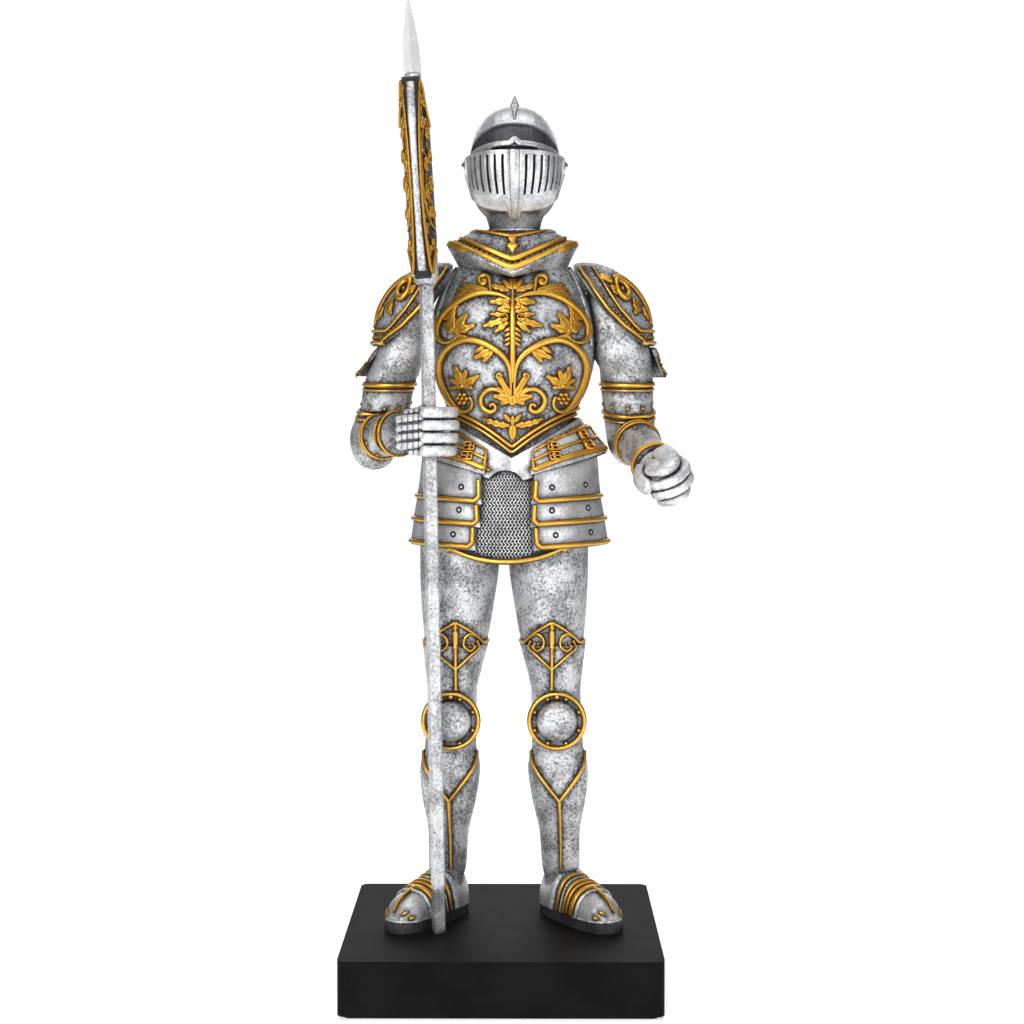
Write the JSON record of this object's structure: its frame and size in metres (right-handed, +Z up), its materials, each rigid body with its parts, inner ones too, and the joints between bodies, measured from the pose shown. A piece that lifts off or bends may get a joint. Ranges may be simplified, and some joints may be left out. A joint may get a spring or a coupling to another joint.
{
  "type": "armoured knight statuette",
  "caption": "Standing knight in plate armour on a square plinth, with a hinged visor and a halberd that lifts out of the right fist.",
  "frame": {"origin": "middle of the plinth's underside", "axes": "+Z up, the knight faces -Y, his left hand is on the +X side"},
  "size_m": [0.1102, 0.1, 0.3149],
  "materials": {
    "silver_plate": "cold-cast resin with antiqued silver paint, black wash and gold relief",
    "polished_plate": "cold-cast resin with smooth silver paint",
    "gold_relief": "cold-cast resin with warm gold paint over black",
    "dark_mail": "cold-cast resin, mail texture with black wash",
    "blackened": "cold-cast resin, blackened recess",
    "plinth_black": "satin black paint",
    "felt": "thin black felt",
    "steel_pins": "plain steel"
  },
  "bodies": {
    "figure": {"plinth": "plinth_black", "felt_pad": "felt", "fixing_screws": "steel_pins", "left_sole": "blackened", "left_sabaton": "silver_plate", "left_greave": "silver_plate", "left_poleyn": "silver_plate", "left_lower_cuisse": "silver_plate", "left_cuisse": "silver_plate", "right_sole": "blackened", "right_sabaton": "silver_plate", "right_greave": "silver_plate", "right_poleyn": "silver_plate", "right_lower_cuisse": "silver_plate", "right_cuisse": "silver_plate", "hip_core": "dark_mail", "mail_skirt": "dark_mail", "fauld": "silver_plate", "left_tasset_upper": "silver_plate", "left_tasset_middle": "silver_plate", "left_tasset_lower": "silver_plate", "right_tasset_upper": "silver_plate", "right_tasset_middle": "silver_plate", "right_tasset_lower": "silver_plate", "left_belt": "gold_relief", "right_belt": "gold_relief", "belt_buckles": "gold_relief", "breastplate": "silver_plate", "backplate": "silver_plate", "gorget_plate": "silver_plate", "gorget_collar": "silver_plate", "left_pauldron": "silver_plate", "left_pauldron_wing": "silver_plate", "left_rerebrace": "silver_plate", "left_couter": "silver_plate", "left_vambrace": "silver_plate", "left_cuff": "gold_relief", "left_gauntlet": "silver_plate", "right_pauldron": "silver_plate", "right_pauldron_wing": "silver_plate", "right_rerebrace": "silver_plate", "right_couter": "silver_plate", "right_vambrace": "silver_plate", "right_cuff": "gold_relief", "right_gauntlet": "silver_plate", "head_core": "blackened", "helmet_skull": "polished_plate", "helmet_comb": "polished_plate", "sight_plate": "blackened", "bevor": "polished_plate", "visor_pivots": "steel_pins"},
    "visor": {"visor": "polished_plate"},
    "halberd": {"halberd_shaft": "polished_plate", "butt_ferrule": "blackened", "halberd_socket": "silver_plate", "axe_blade": "gold_relief", "rear_fluke": "silver_plate", "top_spike": "silver_plate"}
  },
  "joints": [
    {"name": "visor_hinge", "type": "hinge", "parent": "figure", "child": "visor", "pos_m": [0.004, 0.004, 0.2646], "axis": [-1, 0, 0], "range_deg": [0, 50]},
    {"name": "halberd_lift", "type": "slide", "parent": "figure", "child": "halberd", "axis": [-0.0181, -0.0062, 0.9998], "range_m": [0, 0.172]}
  ]
}
